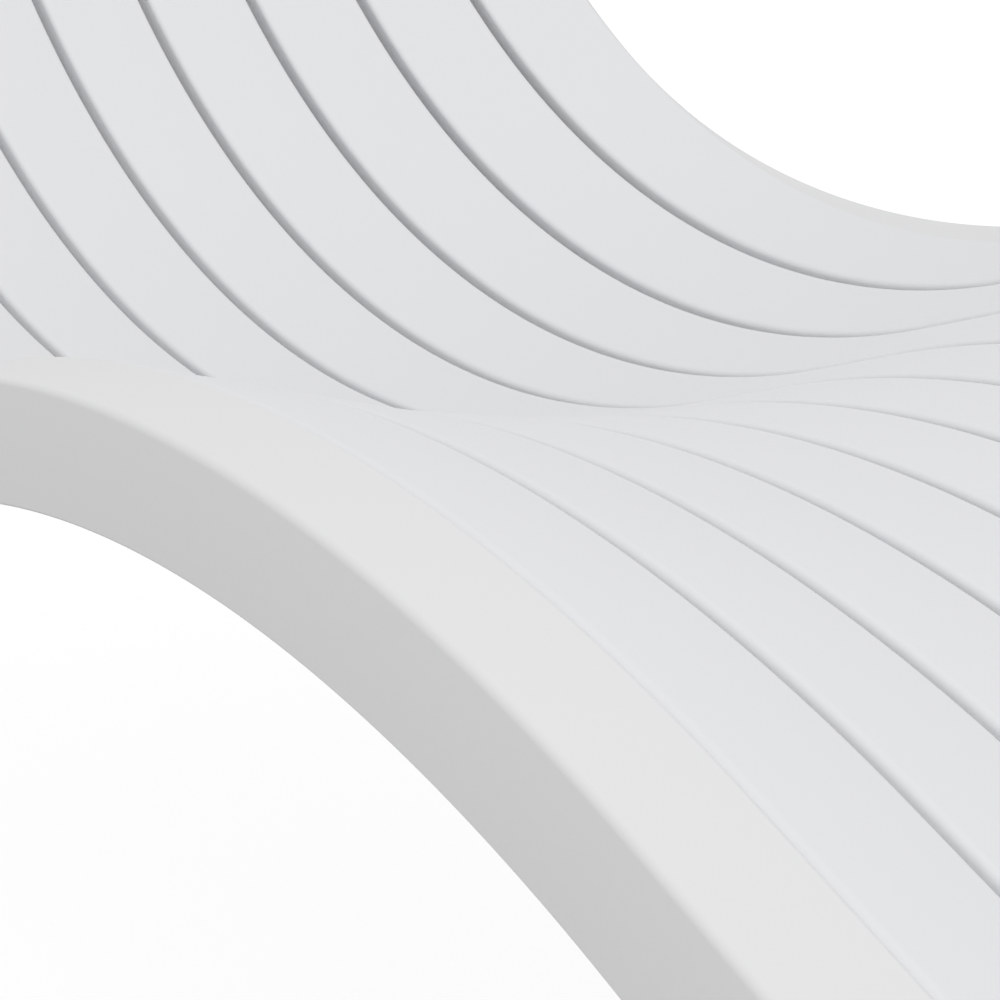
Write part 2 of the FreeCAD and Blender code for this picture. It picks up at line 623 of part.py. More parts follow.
def leg(label, side, centre_x, centre_z, radius_text, top_x, rake_text):
    """One leg: a raked tapering moulding open on its inner side, with a tongue in the rail."""
    under = "(%s - %s)" % (radius_text, BOTTOM_Q)
    floor = "(glide_height - seat_height)"

    def slab(name, corners, y_text, width_text):
        sk = sketch(name)
        # The arch is drawn about the sketch's own upright axis, so the sketch sits under it.
        outline(sk, corners)
        place(sk, "placement(vector(%s; %s; 0); rotation(vector(1; 0; 0); 90deg))"
              % (centre_x, y_text))
        item = doc.addObject("Part::Extrusion", "solid_" + name)
        item.Base = sk
        item.DirMode = "Normal"
        item.Solid = True
        item.Symmetric = True
        item.setExpression("LengthFwd", cell(width_text))
        return item

    def profile(half_top, half_foot, top_radius, low_text):
        left = "(%s - %s - %s)" % (top_x, half_top, centre_x)
        right = "(%s + %s - %s)" % (top_x, half_top, centre_x)
        foot = "(%s + %s - %s)" % (top_x, rake_text, centre_x)
        return [
            (right, "(%s - sqrt((%s)^2 - %s^2))" % (centre_z, top_radius, right), "arc", centre_z),
            (left, "(%s - sqrt((%s)^2 - %s^2))" % (centre_z, top_radius, left), "line", ""),
            ("(%s - %s)" % (foot, half_foot), low_text, "line", ""),
            ("(%s + %s)" % (foot, half_foot), low_text, "line", ""),
        ]

    sign = "" if side > 0 else "-"
    middle = "%s((%s + %s) / 2)" % (sign, INNER_Y, OUTER_Y)
    thick = "(%s - %s)" % (OUTER_Y, INNER_Y)
    body = slab("body_" + label, profile("leg_top / 2", "leg_foot / 2", under, floor), middle, thick)
    room_mid = "%s((%s + %s) / 2 - leg_wall)" % (sign, INNER_Y, OUTER_Y)
    room = slab("room_" + label,
                profile("(leg_top / 2 - leg_wall)", "(leg_foot / 2 - leg_wall)",
                        "(%s + leg_wall)" % under,
                        "(%s + leg_wall + spigot_length)" % floor), room_mid, thick)
    tongue_low = "(%s + leg_wall)" % under
    half_tongue = "(leg_top / 2 - tenon_shoulder)"
    left = "(%s - %s - %s)" % (top_x, half_tongue, centre_x)
    right = "(%s + %s - %s)" % (top_x, half_tongue, centre_x)

    def on_arc(x_text, text):
        return "(%s - sqrt((%s)^2 - %s^2))" % (centre_z, text, x_text)

    tongue_top = "(%s - tenon_height)" % under
    tongue = slab("tongue_" + label, [
        (right, on_arc(right, tongue_top), "arc", centre_z),
        (left, on_arc(left, tongue_top), "line", ""),
        (left, on_arc(left, tongue_low), "arc", centre_z),
        (right, on_arc(right, tongue_low), "line", ""),
    ], "%s(%s + rail_wall + tenon_clearance + tenon_width / 2)" % (sign, INNER_Y), "tenon_width")
    bore = doc.addObject("Part::Cylinder", "bore_" + label)
    bore.setExpression("Radius", cell("glide_spigot + spigot_clearance"))
    bore.setExpression("Height", cell("spigot_length + spigot_clearance"))
    place(bore, "placement(vector(%s + %s; %s; %s); rotation(vector(0; 0; 1); 0deg))"
          % (top_x, rake_text, middle, floor))
    shell = cut(body, room, "shell_" + label)
    ribs = []
    crown = on_arc("(%s - %s)" % (top_x, centre_x), under)
    for step in range(1, LEG_RIBS + 1):
        bar = doc.addObject("Part::Box", "bar_%s_%d" % (label, step))
        bar.setExpression("Length", cell("(4 * leg_top)"))
        bar.setExpression("Width", cell("(%s - leg_wall)" % thick))
        bar.setExpression("Height", cell("leg_rib"))
        place(bar, "placement(vector(%s - 2 * leg_top; %s - (%s - leg_wall) / 2; %s + (%s - %s) * %d / %d);"
                   " rotation(vector(0; 0; 1); 0deg))"
              % (top_x, middle, thick, floor, crown, floor, step, LEG_RIBS + 1))
        rib = doc.addObject("Part::Common", "rib_%s_%d" % (label, step))
        rib.Base, rib.Tool = body, bar
        ribs.append(rib)
    joined = fuse([shell, tongue] + ribs, "moulding_" + label)
    made = keep(cut(joined, bore, label), label)
    glide(label.replace("leg", "glide"), top_x, rake_text, middle, thick)
    return made


def glide(label, top_x, rake_text, middle, thick):
    """One glide: a pad under the leg with a spigot pushed up into it."""
    pad = doc.addObject("Part::Box", "pad_" + label)
    pad.setExpression("Length", cell("leg_foot"))
    pad.setExpression("Width", cell(thick))
    pad.setExpression("Height", cell("glide_height"))
    place(pad, "placement(vector(%s + %s - leg_foot / 2; %s - %s / 2; -seat_height);"
               " rotation(vector(0; 0; 1); 0deg))" % (top_x, rake_text, middle, thick))
    spigot = doc.addObject("Part::Cylinder", "spigot_" + label)
    spigot.setExpression("Radius", cell("glide_spigot"))
    spigot.setExpression("Height", cell("glide_height + spigot_length"))
    place(spigot, "placement(vector(%s + %s; %s; -seat_height); rotation(vector(0; 0; 1); 0deg))"
          % (top_x, rake_text, middle))
    return keep(fuse([pad, spigot], label), label)


for index in range(SLATS):
    slat(index)
rail(-1, "side_rail_right")
rail(1, "side_rail_left")

for station in STATIONS:
    bearer(station, curved=station == "bearer_seat")
end_rail("end_rail_head", HEAD_X, HEAD_Z, "back_angle * 1deg", -1, CROWN_Y, CROWN_Q)
end_rail("end_rail_foot", FOOT_X, FOOT_Z, "foot_angle * 1deg", 1, OUTER_Y, OUTER_Q)
for side, name in ((-1, "right"), (1, "left")):
    leg("leg_rear_" + name, side, "0", "seat_radius", "seat_radius", "(-rear_leg_x)", "(-rear_rake)")
    leg("leg_front_" + name, side, HOLLOW_X, HOLLOW_Z, "foot_radius",
        "(%s - front_leg_in)" % HOLLOW_X, "front_rake")

doc.recompute()
for item in doc.Objects:
    if "Invalid" in item.State or "Error" in item.State:
        raise RuntimeError("failed: %s %s" % (item.Name, item.State))

# The origin: on the floor, under the middle of the whole box.
box = FreeCAD.BoundBox()
for item in pieces:
    box.add(item.Shape.optimalBoundingBox(False))
shift = Vector(-box.Center.x, -box.Center.y, -box.ZMin)
for item in pieces:
    item.Placement = Placement(shift, Rotation()) * item.Placement
    shape = item.Shape
    if shape.isNull() or not shape.isValid() or len(shape.Solids) != 1:
        raise RuntimeError("bad shape: %s, %d solids" % (item.Label, len(shape.Solids)))
for item in pieces:
    item.Shape.exportStep("parts/%s.step" % item.Label)
total = sum(item.Shape.Volume for item in pieces)
print("pieces", len(pieces), "volume cm3", round(total / 1000, 1))
print("seat point", [round(v, 3) for v in shift], "size", [round(v, 2) for v in
      (box.XLength, box.YLength, box.ZLength)])
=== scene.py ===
# %% [markdown]
# # A wave lounger of white moulded slats
# The object is a garden lounger.  Ten slats run lengthwise in one wave, from the head through
# the seat and over the knees to the foot, between two side rails.  The solids come in from
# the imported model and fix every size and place.  They could be shown as they are, but so close
# a picture of long smooth curves would show their facets.  So this file draws a smooth skin for
# each piece, gives it a finish, adds a floor and light, and looks from where the photograph
# was taken.

# %% Load the solids
import bpy
import math
import numpy as np
from collections import namedtuple
from mathutils import Matrix, Vector


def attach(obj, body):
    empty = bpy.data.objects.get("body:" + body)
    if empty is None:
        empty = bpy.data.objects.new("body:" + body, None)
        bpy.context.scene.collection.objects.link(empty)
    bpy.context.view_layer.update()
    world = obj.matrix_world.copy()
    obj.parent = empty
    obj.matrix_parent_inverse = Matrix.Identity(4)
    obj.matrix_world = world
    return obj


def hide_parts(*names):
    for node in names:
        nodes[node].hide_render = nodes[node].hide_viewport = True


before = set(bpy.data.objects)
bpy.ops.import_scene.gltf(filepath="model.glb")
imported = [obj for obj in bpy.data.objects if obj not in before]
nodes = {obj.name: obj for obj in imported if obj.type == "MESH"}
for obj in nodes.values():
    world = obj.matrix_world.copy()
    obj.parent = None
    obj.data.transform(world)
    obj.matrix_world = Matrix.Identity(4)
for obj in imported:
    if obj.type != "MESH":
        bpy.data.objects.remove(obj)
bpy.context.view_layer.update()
scene = bpy.context.scene
scene.view_settings.view_transform = "Standard"

# %% [markdown]
# ## The camera
# The photograph looks along the deck from beyond the foot end, a little above it, through a
# long lens.  A camera can be aimed by eye, or made to track a target.  Here its place was
# worked out from the gap lines between the slats, so it is written as a place, three angles
# and a focal length, and nothing is left to the eye.  The small roll is a slight tilt.

# %% Camera
CAMERA_PLACE = Vector((1.1759, -0.7499, 0.6214))
CAMERA_TURN = math.radians(58.746)
CAMERA_DIP = math.radians(14.675)
CAMERA_ROLL = math.radians(-0.589)
FOCAL_PIXELS = 3310.9
FRAME_PIXELS = 1000.0
SENSOR_MM = 36.0
NEAR_CLIP = 0.01


def aim_camera():
    """Right is level, forward dips below level, up is their cross product, then all roll."""
    turn, dip, roll = CAMERA_TURN, CAMERA_DIP, CAMERA_ROLL
    right = Vector((math.cos(turn), math.sin(turn), 0.0))
    forward = Vector((-math.sin(turn) * math.cos(dip),
                      math.cos(turn) * math.cos(dip),
                      -math.sin(dip)))
    up = right.cross(forward)
    rolled_right = right * math.cos(roll) + up * math.sin(roll)
    rolled_up = up * math.cos(roll) - right * math.sin(roll)
    axes = Matrix((rolled_right, rolled_up, -forward)).transposed().to_4x4()
    data = bpy.data.cameras.new("photo_camera")
    data.sensor_width = SENSOR_MM
    data.lens = FOCAL_PIXELS * SENSOR_MM / FRAME_PIXELS
    data.clip_start = NEAR_CLIP
    camera = bpy.data.objects.new("photo_camera", data)
    scene.collection.objects.link(camera)
    camera.matrix_world = Matrix.Translation(CAMERA_PLACE) @ axes
    scene.camera = camera
    return camera


camera = aim_camera()
print("lens mm", round(camera.data.lens, 2))

# %% [markdown]
# ## The wave
# Every long piece follows one curve in the upright plane: straight runs joined by tangent
# arcs.  It could be a Bezier curve, but then its arcs would only be near to the solids' arcs.
# Written as a list of runs, each a length and a bend, it is exact.  The turn grows by bend
# times length, and the place has a closed form on a line and on an arc, so numpy gives all
# points at once.

# %% The wave path
MM = 0.001
SEAT_LOW = np.array([-150.618, 270.0]) * MM
SEAT_RADIUS, CREST_RADIUS, FOOT_RADIUS = 598 * MM, 730 * MM, 561 * MM
BACK_TURN, RISE_TURN, FALL_TURN, FOOT_TURN = np.radians([47.0, 16.7, 20.5, 3.0])
BACK_RUN, RISE_RUN, FALL_RUN, FOOT_RUN = 430 * MM, 55 * MM, 79 * MM, 130 * MM
RUNS = [
    (BACK_RUN, 0.0),
    (SEAT_RADIUS * (BACK_TURN + RISE_TURN), 1 / SEAT_RADIUS),
    (RISE_RUN, 0.0),
    (CREST_RADIUS * (RISE_TURN + FALL_TURN), -1 / CREST_RADIUS),
    (FALL_RUN, 0.0),
    (FOOT_RADIUS * (FALL_TURN - FOOT_TURN), 1 / FOOT_RADIUS),
    (FOOT_RUN, 0.0),
]
WAVE_LENGTH = sum(length for length, _ in RUNS)
HEAD = SEAT_LOW + np.array([
    -SEAT_RADIUS * np.sin(BACK_TURN) - BACK_RUN * np.cos(BACK_TURN),
    SEAT_RADIUS * (1 - np.cos(BACK_TURN)) + BACK_RUN * np.sin(BACK_TURN)])


def stride(heading, bend, step):
    """The move along a run: step times cosine and sine of the heading on a straight run.

    On an arc it is the change of sine and of minus cosine from end to end, over the bend.
    """
    step = np.asarray(step, float)
    if bend == 0.0:
        return step[..., None] * np.array([np.cos(heading), np.sin(heading)])
    angle = heading + bend * step
    return np.stack([np.sin(angle) - np.sin(heading),
                     np.cos(heading) - np.cos(angle)], axis=-1) / bend


def wave(along):
    """Place and turn at lengths along the path.

    In each run the turn is its start plus bend times length, and the place is its start plus
    the stride.  A later run overwrites the points that lie beyond its start.
    """
    along = np.clip(np.asarray(along, float), 0.0, WAVE_LENGTH)
    place, turn = np.zeros(along.shape + (2,)), np.zeros(along.shape)
    begin, spot, heading = 0.0, HEAD, -BACK_TURN
    for length, bend in RUNS:
        step = np.clip(along - begin, 0.0, length)
        inside = along >= begin
        place[inside] = (spot + stride(heading, bend, step))[inside]
        turn[inside] = (heading + bend * step)[inside]
        spot = spot + stride(heading, bend, length)
        begin, heading = begin + length, heading + bend * length
    return place, turn


def on_wave(along, across, above):
    """World points: across goes to Y, above along the path's normal (-sin turn, cos turn)."""
    place, turn = wave(along)
    x = place[..., 0] - above * np.sin(turn)
    z = place[..., 1] + above * np.cos(turn)
    return np.stack(np.broadcast_arrays(x, across, z), axis=-1)


print("path length m", round(WAVE_LENGTH, 4), "foot", wave(WAVE_LENGTH)[0].round(4))

# %% [markdown]
# ## Outlines with rounded corners
# No moulding has a sharp corner, because resin does not fill one.  A Bevel modifier could
# round the finished mesh, with one width for all corners.  Here each corner of an outline has
# its own radius, so the rounding is worked out in the outline, before it becomes a mesh.

# %% Rounded outlines
CIRCLE = np.linspace(0.0, 2 * np.pi, 24, endpoint=False)
NEVER_ZERO = 1e-9


def rounded(corners, steps=6):
    """An outline from corners (x, y, radius): each corner becomes an arc that touches both sides.

    With half the angle between the sides, the arc starts radius / tan(half) from the corner
    and its centre lies radius / sin(half) along the bisector.  Points on the arc are its two
    end arms, weighted by the sines of the swing still to go and of the swing already done.
    """
    spots = np.array([corner[:2] for corner in corners], float)
    radii = np.array([corner[2] for corner in corners], float)
    before = np.roll(spots, 1, axis=0) - spots
    after = np.roll(spots, -1, axis=0) - spots
    before /= np.linalg.norm(before, axis=1, keepdims=True)
    after /= np.linalg.norm(after, axis=1, keepdims=True)
    half = np.arccos(np.clip((before * after).sum(axis=1), -1, 1)) / 2
    middle = (before + after) / np.linalg.norm(before + after, axis=1, keepdims=True)
    centre = spots + middle * (radii / np.sin(half))[:, None]
    first = spots + before * (radii / np.tan(half))[:, None] - centre
    last = spots + after * (radii / np.tan(half))[:, None] - centre
    share = np.linspace(0.0, 1.0, steps + 1)
    swing = np.pi - 2 * half
    whole = np.maximum(np.sin(swing), NEVER_ZERO)[:, None]
    low = np.sin(np.outer(swing, 1 - share)) / whole
    high = np.sin(np.outer(swing, share)) / whole
    points = centre[:, None] + low[..., None] * first[:, None] + high[..., None] * last[:, None]
    return points.reshape(-1, 2)


print("outline points", len(rounded([(0, 0, 0.1), (1, 0, 0.1), (1, 1, 0.1)])))

# %% [markdown]
# ## From rings to a piece
# A moulding can be drawn as a stack of rings: the same outline, moved and changed a little
# from one ring to the next.  A curve with a bevel object would do this only for an outline
# that stays the same.  Each ring is one row of an array, so the whole skin is a grid of quads,
# and one flat face closes each end.  The signed volume of the grid says whether its faces
# point outwards.

# %% Skins and pieces
SHARP_ANGLE = math.radians(40.0)


def skin(rings):
    """Vertices, quads and two end faces of a closed stack of rings, turned to face outwards.

    The signed volume adds up, for every triangle, one corner times the cross product of two
    sides, all seen from the middle.  If it is negative, every face is turned round.
    """
    rings = np.asarray(rings, float)
    rows, count = rings.shape[:2]
    grid = np.arange(rows * count).reshape(rows, count)
    ahead = np.roll(grid, -1, axis=1)
    quads = np.stack([grid[:-1], ahead[:-1], ahead[1:], grid[1:]], axis=-1).reshape(-1, 4)
    ends = [grid[0][::-1], grid[-1]]
    spots = rings.reshape(-1, 3)
    middle = spots.mean(axis=0)
    a, b, c, d = (spots[quads[:, k]] - middle for k in range(4))
    volume = (np.cross(b - a, d - a) * a).sum() + (np.cross(d - c, b - c) * c).sum()
    for ring in ends:
        fan = spots[ring] - middle
        volume += (np.cross(fan[1:-1], fan[2:]) @ fan[0]).sum()
    if volume < 0:
        quads = quads[:, ::-1]
        ends = [ring[::-1] for ring in ends]
    return spots, quads, ends


def piece(name, skins, stands_for):
    """One object at the origin from one or more skins.  It rides on the root body for its node."""
    spots = np.concatenate([points for points, _, _ in skins])
    starts = np.cumsum([0] + [len(points) for points, _, _ in skins])
    faces = []
    for start, (_, quads, ends) in zip(starts, skins):
        faces += (quads + start).tolist() + [(ring + start).tolist() for ring in ends]
    mesh = bpy.data.meshes.new(name)
    mesh.from_pydata(spots.tolist(), [], faces)
    mesh.polygons.foreach_set("use_smooth", np.ones(len(mesh.polygons), bool))
    mesh.set_sharp_from_angle(angle=SHARP_ANGLE)
    mesh.update()
    made = bpy.data.objects.new(name, mesh)
    scene.collection.objects.link(made)
    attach(made, "root")
    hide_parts(stands_for)
    return made


print("edges sharper than", round(math.degrees(SHARP_ANGLE)), "degrees stay sharp")

# %% [markdown]
# ## The slat's outline
# A slat is a shallow upside-down channel, as resin boards are, with rounded top edges and thin
# walls.  Across the lounger the slats sit on a wide arc, the dish, so the outer ones lean
# inwards.  The last slat at each side lies a little flatter than the arc, where it meets the
# rail.  One board could be modelled and copied with an Array, but each slat leans by its own
# angle, so the outline is drawn flat and a formula leans it.

# %% Slat outline
SLATS = 10
DISH_RADIUS = 822 * MM
SLAT_PITCH, SLAT_WIDTH, SLAT_DEPTH, SLAT_WALL = 62 * MM, 56.6 * MM, 20 * MM, 3.5 * MM
SLAT_EDGE, SLAT_FOOT, SLAT_HOLLOW = 3 * MM, 0.8 * MM, 2 * MM
HALF, INSIDE = SLAT_WIDTH / 2, SLAT_WIDTH / 2 - SLAT_WALL


def channel(outer_edge, outer_depth):
    """The slat's outline.  The side towards the rail can have its own edge radius and depth."""
    return rounded([
        (-HALF, 0.0, SLAT_EDGE), (-HALF, -SLAT_DEPTH, SLAT_FOOT),
        (-INSIDE, -SLAT_DEPTH, SLAT_FOOT), (-INSIDE, -SLAT_WALL, SLAT_HOLLOW),
        (INSIDE, -SLAT_WALL, SLAT_HOLLOW), (INSIDE, -outer_depth, SLAT_FOOT),
        (HALF, -outer_depth, SLAT_FOOT), (HALF, 0.0, outer_edge)])


def dished(lean, sideways, height, ease=1.0):
    """A point of a leaning slat in the section.

    The slat's inner edge lies half a width from the arc's point, along the arc's tangent.  From
    there the point goes sideways and up along the slat's own axes, which lean by lean times ease.
    """
    inner = -math.copysign(HALF, lean)
    own, outward = lean * ease, sideways - inner
    across = (DISH_RADIUS * np.sin(lean) + inner * np.cos(lean)
              + outward * np.cos(own) - height * np.sin(own))
    above = (DISH_RADIUS * (1 - np.cos(lean)) + inner * np.sin(lean)
             + outward * np.sin(own) + height * np.cos(own))
    return across, above


def smooth_step(value, low, high):
    """Nought below low, one above high, and 3t^2 - 2t^3 between."""
    share = np.clip((value - low) / (high - low), 0.0, 1.0)
    return share * share * (3 - 2 * share)


print("slat outline points", len(channel(SLAT_EDGE, SLAT_DEPTH)))

# %% [markdown]
# ## The slats
# Each slat is the leaning outline carried along the wave.  The last one at each side has an
# edge that is soft beside the knees and tight beside the seat, so its outline is a mix of two
# that changes along the way.  Pegs under the top go down through the cross bearers, as moulded
# boards are pinned from below, and each is a short stack of circles.

# %% Slats
RINGS_ALONG = 241
LAST_EASE, LAST_DEPTH = 0.8, 16 * MM
TIGHT_EDGE, SOFT_EDGE, SOFT_FROM, SOFT_TO = 0.8 * MM, 4.5 * MM, 1000 * MM, 1150 * MM
PEG_RADIUS, PEG_TIP, PEG_CHAMFER, LAST_PEG_TOP = 5 * MM, 26.5 * MM, 1 * MM, 5 * MM
END_BEARER = 60 * MM
BEARER_STATIONS = {
    "head": END_BEARER,
    "back": 340 * MM,
    "seat": BACK_RUN + SEAT_RADIUS * BACK_TURN,
    "thigh": BACK_RUN + SEAT_RADIUS * (BACK_TURN + RISE_TURN) + RISE_RUN / 2,
    "calf": sum(length for length, _ in RUNS[:4]) + FALL_RUN / 2,
    "foot": WAVE_LENGTH - END_BEARER,
}


def slat(index):
    """The outline at every length along the wave, and a stack of circles for each peg."""
    lean = (index - (SLATS - 1) / 2) * SLAT_PITCH / DISH_RADIUS
    last = index in (0, SLATS - 1)
    along = np.linspace(0.0, WAVE_LENGTH, RINGS_ALONG)[:, None]
    if last:
        tight, soft = channel(TIGHT_EDGE, LAST_DEPTH), channel(SOFT_EDGE, LAST_DEPTH)
        outline = tight + (soft - tight) * smooth_step(along, SOFT_FROM, SOFT_TO)[..., None]
    else:
        outline = channel(SLAT_EDGE, SLAT_DEPTH)[None]
    sideways = math.copysign(1, lean) * outline[..., 0]
    ease = LAST_EASE if last else 1.0
    skins = [skin(on_wave(along, *dished(lean, sideways, outline[..., 1], ease)))]
    peg_top = LAST_PEG_TOP if last else SLAT_WALL / 2
    wide = np.array([PEG_RADIUS, PEG_RADIUS, PEG_RADIUS - PEG_CHAMFER])[:, None]
    depth = np.array([peg_top, PEG_TIP - PEG_CHAMFER, PEG_TIP])[:, None]
    peg = dished(lean, wide * np.cos(CIRCLE), -depth)
    skins += [skin(on_wave(station + wide * np.sin(CIRCLE), *peg))
              for station in BEARER_STATIONS.values()]
    return piece("slat_skin_%02d" % (index + 1), skins, "slat_%02d" % (index + 1))


slats = [slat(index) for index in range(SLATS)]
print("slats", len(slats), "faces each", len(slats[0].data.polygons))

# %% [markdown]
# ## The side rail's outlines
# A side rail closes the deck at each side.  From the knees to the foot its top is a broad band
# with an upright outer side.  In the seat the band narrows and its outer edge lifts, and along
# the back it hides behind the last slat, under a side that leans outwards.  It is a channel,
# open below, with a thin lip that closes the joint beside the slat.  Four outlines with the
# same number of points describe it, so that they can be mixed point by point.

# %% Side rail outlines
OUTER_Y, INNER_Y = 338.2 * MM, 307.75 * MM
BOTTOM_Q, RAIL_WALL, RAIL_FOOT = 7.8 * MM, 4 * MM, 1 * MM
INNER_FACE = INNER_Y + RAIL_WALL
RIDGE_ROUND, ROOM_ROUND, ROOM_INNER_ROUND = 0.6 * MM, 1 * MM, 0.8 * MM
LIP_DROP, LIP_DEPTH, LIP_ROUND, LIP_FIT = 4.5 * MM, 9.5 * MM, 0.2 * MM, 0.05 * MM
OUTER_LEAN = (SLATS - 1) / 2 * SLAT_PITCH / DISH_RADIUS
DECK_SLOPE = math.tan(OUTER_LEAN * LAST_EASE)
DECK_EDGE_Y, DECK_EDGE_Q = dished(OUTER_LEAN, HALF, 0.0, LAST_EASE)


def lip_beside_slat(q):
    """Where a lip at this height meets the outer wall of the last slat, which leans with it."""
    return DECK_EDGE_Y + (DECK_EDGE_Q - q) * DECK_SLOPE + LIP_FIT


def rail_outline(ridge, edge, outer_y, room):
    """The rail's outline from its ridge (y, q), outer edge (y, q, radius) and foot of the side.

    The room inside is given by its outer foot, its outer top (y, q) and its inner top.  The
    outline comes back up the inner wall to a thin lip that closes the joint beside the slat.
    """
    outer_foot, outer_top_y, outer_top_q, inner_top_q = room
    lip_q = ridge[1] - LIP_DROP
    return rounded([
        (*ridge, RIDGE_ROUND), edge, (outer_y, BOTTOM_Q, RAIL_FOOT),
        (outer_foot, BOTTOM_Q, RAIL_FOOT), (outer_top_y, outer_top_q, ROOM_ROUND),
        (INNER_FACE, inner_top_q, ROOM_INNER_ROUND), (INNER_FACE, BOTTOM_Q, RAIL_FOOT),
        (INNER_Y, BOTTOM_Q, RAIL_FOOT), (INNER_Y, ridge[1] - LIP_DEPTH, ROOM_ROUND),
        (lip_beside_slat(lip_q), lip_q, LIP_ROUND)], steps=8)


RAIL_OUTLINES = [
    rail_outline(ridge=(302 * MM, 51.2 * MM), edge=(307.7 * MM, 47.0 * MM, 1.5 * MM),
                 outer_y=337 * MM, room=(332 * MM, 313.8 * MM, 32 * MM, 32 * MM)),
    rail_outline(ridge=(302 * MM, 51.9 * MM), edge=(326 * MM, 59.6 * MM, 3.5 * MM),
                 outer_y=OUTER_Y, room=(334.1 * MM, 322.8 * MM, 54 * MM, 49.4 * MM)),
    rail_outline(ridge=(302.6 * MM, 53 * MM), edge=(OUTER_Y, 51.3 * MM, 2.4 * MM),
                 outer_y=OUTER_Y, room=(334.2 * MM, 334.2 * MM, 47.4 * MM, 48.6 * MM)),
    rail_outline(ridge=(302.6 * MM, 52.8 * MM), edge=(OUTER_Y, 49.9 * MM, 3.3 * MM),
                 outer_y=OUTER_Y, room=(334.2 * MM, 334.2 * MM, 46 * MM, 48.2 * MM)),
]
print("rail outlines", len(RAIL_OUTLINES), "points each", len(RAIL_OUTLINES[0]))

# %% [markdown]
# ## The side rails
# The four outlines belong to the back, the seat, the thighs and the calves.  Blender could
# bridge four loops, but its bridge would not follow the wave.  Here each ring along the wave is
# a mix of the two outlines next to it, eased in and out so that no crease shows.

# %% Side rails
RAIL_KEYS = np.array([613, 1070, 1215, 1400]) * MM


def side_rail(side, label):
    """Outline = back, plus each change to the next outline times a smooth step between two keys."""
    along = np.linspace(0.0, WAVE_LENGTH, RINGS_ALONG)
    outline = RAIL_OUTLINES[0][None]
    for step in range(len(RAIL_KEYS) - 1):
        share = smooth_step(along, RAIL_KEYS[step], RAIL_KEYS[step + 1])[:, None, None]
        outline = outline + (RAIL_OUTLINES[step + 1] - RAIL_OUTLINES[step]) * share
    rings = on_wave(along[:, None], side * outline[..., 0], outline[..., 1])
    return piece("rail_skin_" + label, [skin(rings)], "side_rail_" + label)


rails = [side_rail(-1, "right"), side_rail(1, "left")]
print("rails", len(rails), "faces each", len(rails[0].data.polygons))

# %% [markdown]
# ## The end rails
# A moulded bar closes the deck at the head and at the foot.  Its outline is the deck's own
# section: the dished top, the rail's shoulders and a dished underside.  It could be extruded
# and bevelled, but a bevel goes wrong where the shoulder's edges are short.  The ring is drawn
# as a function of an inset instead, and the rounded outer edge is a quarter circle: the inset
# grows as one minus cosine while the ring moves outwards as sine.

# %% End rails
END_WIDTH, END_ROUND, END_STEPS = 26.3 * MM, 6 * MM, 7
END_LOW = math.hypot(OUTER_Y, DISH_RADIUS - BOTTOM_Q)
DECK_EDGE, END_RIDGE, END_POINTS = 300 * MM, 302.6 * MM, 61


def dish_height(radius, y):
    """Height in the section of a circle about the dish's axis."""
    return DISH_RADIUS - np.sqrt(radius ** 2 - y ** 2)


def deck_height(inset, y):
    """Height of the deck, sunk by an inset: the dish's circle, then straight on with the last slat."""
    start = dished(OUTER_LEAN, -HALF, 0.0)[0]
    beyond = np.maximum(np.abs(y) - start, 0.0)
    return dish_height(DISH_RADIUS + inset, np.minimum(np.abs(y), start)) + beyond * DECK_SLOPE


def end_ring(inset, ridge_q, edge):
    """Outline drawn in by an inset: the dished underside, two shoulders and the deck."""
    wide = OUTER_Y - inset
    low_y = np.linspace(-wide, wide, END_POINTS)
    top_y = np.linspace(DECK_EDGE, -DECK_EDGE, END_POINTS)
    low = np.stack([low_y, dish_height(END_LOW - inset, low_y)], axis=-1)
    top = np.stack([top_y, deck_height(inset, top_y)], axis=-1)
    shoulder = np.array([[edge[0] - inset, edge[1] - inset], [END_RIDGE, ridge_q - inset]])
    return np.concatenate([low, shoulder, top, shoulder[::-1] * np.array([[-1.0, 1.0]])])


def end_rail(label, along, way, ridge_q, edge):
    """Straight rings from the slats' ends, then the quarter-circle round."""
    quarter = np.linspace(0.0, np.pi / 2, END_STEPS)
    insets = np.concatenate([[0.0], END_ROUND * (1 - np.cos(quarter))])
    reach = np.concatenate([[0.0], END_WIDTH - END_ROUND + END_ROUND * np.sin(quarter)])
    outlines = np.stack([end_ring(inset, ridge_q, edge) for inset in insets])
    _, turn = wave(along)
    outward = way * np.array([np.cos(turn), 0.0, np.sin(turn)])
    rings = on_wave(np.full(outlines.shape[:2], along), outlines[..., 0], outlines[..., 1])
    rings = rings + reach[:, None, None] * outward
    return piece("end_skin_" + label, [skin(rings)], "end_rail_" + label)


ends = [end_rail("head", 0.0, -1, ridge_q=52.4 * MM, edge=(307.7 * MM, 47.5 * MM)),
        end_rail("foot", WAVE_LENGTH, 1, ridge_q=53 * MM, edge=(OUTER_Y, 50 * MM))]
print("end rails", [len(item.data.polygons) for item in ends])

# %% [markdown]
# ## The cross bearers
# Six bearers lie under the slats and reach from rail to rail.  A bearer is a bar moulded as an
# upside-down channel, bent to the dish and a little shallower at its ends, so that it stays
# out of sight behind the rail.  A straight bar and a Simple Deform bend would come near.  Here
# the rings are upright slices across the lounger, so the bend is one exact formula: the height
# of a circle about the dish's axis.  A plate and a round lug close each end.

